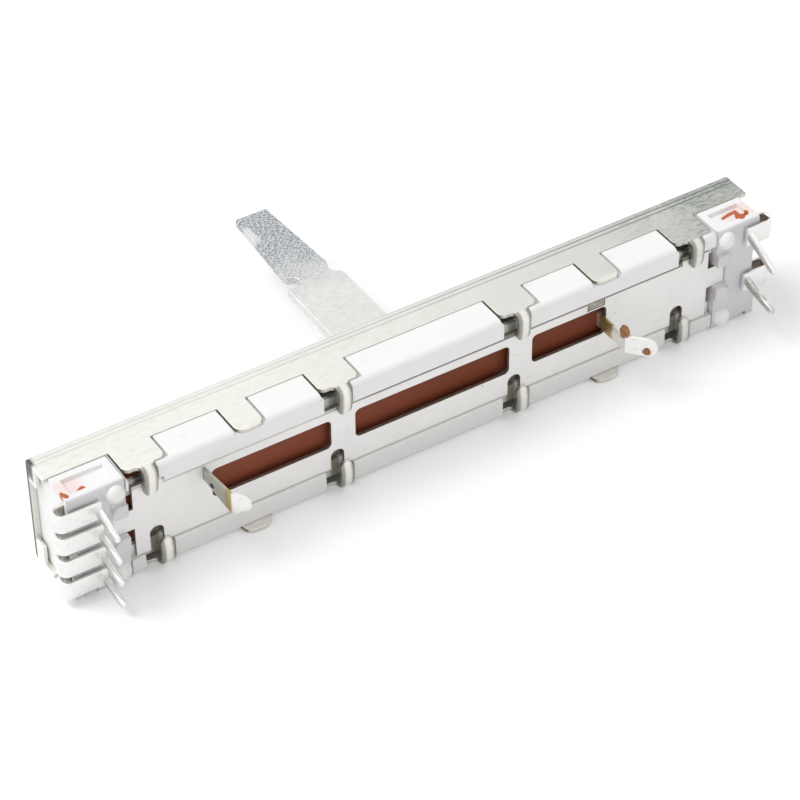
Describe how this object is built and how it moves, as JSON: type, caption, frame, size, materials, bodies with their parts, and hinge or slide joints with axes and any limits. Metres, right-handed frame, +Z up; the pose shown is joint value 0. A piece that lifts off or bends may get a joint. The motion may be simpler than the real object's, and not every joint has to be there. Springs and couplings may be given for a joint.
{
  "type": "slide potentiometer",
  "caption": "Dual-gang slide potentiometer in a folded steel frame, with a flat lever, moulded housing, windowed rear cover, solder lugs and folded terminals.",
  "frame": {"origin": "middle of the two panel screw holes, on the front face of the frame", "axes": "+X along the travel and the length of the body, +Y out of the panel along the lever, +Z up as the part lies on its long narrow side"},
  "size_m": [0.0895, 0.0448, 0.0138],
  "materials": {
    "frame_steel": "zinc-plated sheet, lightly scuffed",
    "housing_plastic": "white moulded plastic",
    "cover_tinplate": "tinned sheet",
    "phenolic": "reddish brown phenolic board",
    "carbon": "printed track",
    "block_plastic": "cool white moulded plastic",
    "terminal_tin": "tinned sheet",
    "eyelet_brass": "plain",
    "lever_steel": "plated steel blade, worn at the tip",
    "carriage_plastic": "dark moulded plastic",
    "spring_bronze": "spring sheet"
  },
  "bodies": {
    "body": {"front_frame": "frame_steel", "housing": "housing_plastic", "rear_cover": "cover_tinplate", "resistor_board": "phenolic", "resistive_track_upper": "carbon", "resistive_track_lower": "carbon", "collector_track_upper": "carbon", "collector_track_lower": "carbon", "terminal_block_left": "block_plastic", "terminal_block_right": "block_plastic", "terminal_left_1": "terminal_tin", "terminal_left_2": "terminal_tin", "terminal_left_3": "terminal_tin", "terminal_left_4": "terminal_tin", "terminal_right_1": "terminal_tin", "terminal_right_2": "terminal_tin", "solder_lug_left": "terminal_tin", "solder_lug_right": "terminal_tin", "board_eyelets": "eyelet_brass"},
    "slider": {"lever": "lever_steel", "carriage": "carriage_plastic", "wiper_upper": "spring_bronze", "wiper_lower": "spring_bronze", "drag_spring": "spring_bronze"}
  },
  "joints": [
    {"name": "lever_slide", "type": "slide", "parent": "body", "child": "slider", "axis": [1, 0, 0], "range_m": [-0.0295, 0.0305]}
  ]
}
